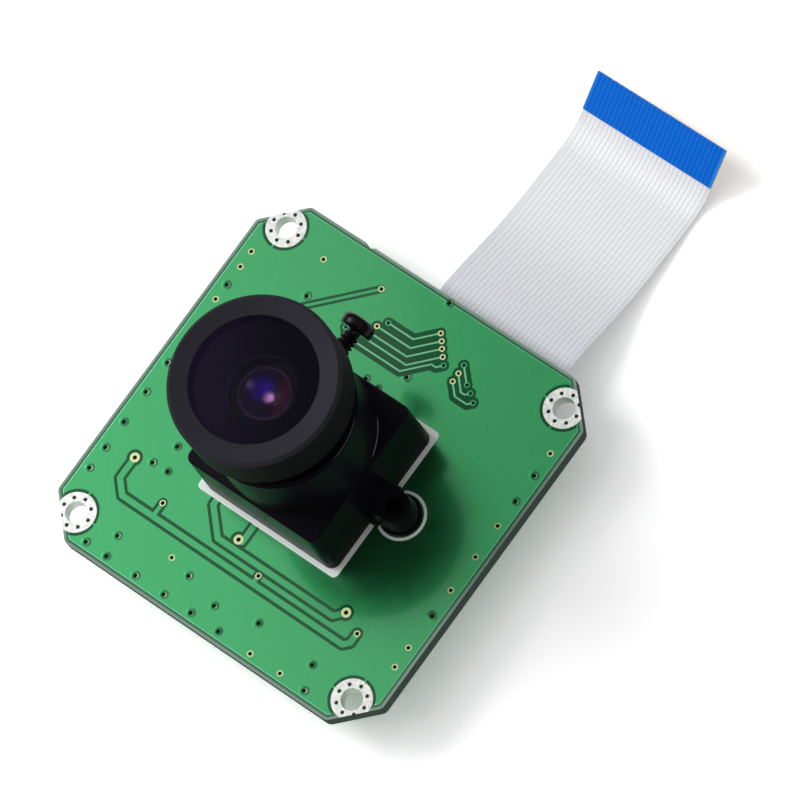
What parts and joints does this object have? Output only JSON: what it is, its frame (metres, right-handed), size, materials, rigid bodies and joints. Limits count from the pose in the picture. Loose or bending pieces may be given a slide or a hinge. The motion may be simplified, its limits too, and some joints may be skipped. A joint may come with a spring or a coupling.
{
  "type": "camera module",
  "caption": "Camera module: green circuit board, black holder with a screw-in wide-angle lens, and a white flat cable with a blue end.",
  "frame": {"origin": "centre of the mounting holes' pattern, on the rear face of the board", "axes": "+Z is the lens axis and points the way the lens looks, +Y is the way the flat cable leaves"},
  "size_m": [0.04, 0.0667, 0.03],
  "materials": {
    "green_mask": "glossy green solder mask over woven laminate",
    "holder_plastic": "moulded black plastic, glossy",
    "black_anodised": "black anodised, satin",
    "lens_glass": "polished, violet coating",
    "cover_glass": "polished",
    "filter_glass": "polished, pale blue-green",
    "package_ceramic": "matt ceramic",
    "sensor_silicon": "mirror-like silicon",
    "spacer_black": "matt black",
    "black_screw": "blackened steel, satin",
    "cable_white": "thin film with ribs, soft shine",
    "stiffener_blue": "blue film, glossy",
    "contact_gold": "gold plated",
    "connector_plastic": "moulded, fine grain",
    "latch_plastic": "moulded, fine grain",
    "capacitor_ceramic": "fired ceramic",
    "resistor_black": "dark glaze",
    "solder_metal": "tinned",
    "chip_plastic": "moulded epoxy",
    "lid_metal": "plated lid"
  },
  "bodies": {
    "board": {"circuit_board": "green_mask", "sensor_package": "package_ceramic", "sensor_die": "sensor_silicon", "sensor_glass": "cover_glass", "infrared_filter": "filter_glass", "lens_holder": "holder_plastic", "holder_screws": "black_screw", "lock_screw": "black_screw", "cable_film": "cable_white", "free_end_stiffener": "stiffener_blue", "free_end_strips": "contact_gold", "plug_end_stiffener": "stiffener_blue", "connector_housing": "connector_plastic", "connector_contacts": "contact_gold", "connector_anchors": "solder_metal", "capacitor_bodies": "capacitor_ceramic", "capacitor_ends": "solder_metal", "resistor_bodies": "resistor_black", "resistor_ends": "solder_metal", "regulator_body": "chip_plastic", "regulator_leads": "solder_metal", "oscillator_base": "package_ceramic", "oscillator_lid": "lid_metal"},
    "lens": {"lens_barrel": "black_anodised", "front_ring": "black_anodised", "front_lens": "lens_glass", "second_lens": "lens_glass", "front_spacer": "spacer_black", "aperture_stop": "spacer_black", "rear_lens": "lens_glass", "rear_ring": "spacer_black"},
    "latch": {"connector_latch": "latch_plastic"}
  },
  "joints": [
    {"name": "focus_turn", "type": "hinge", "parent": "board", "child": "lens", "pos_m": [0, 0, 0.0096], "axis": [0, 0, 1], "range_deg": [-360, 360]},
    {"name": "latch_slide", "type": "slide", "parent": "board", "child": "latch", "axis": [0, 1, 0], "range_m": [0, 0.001]}
  ]
}
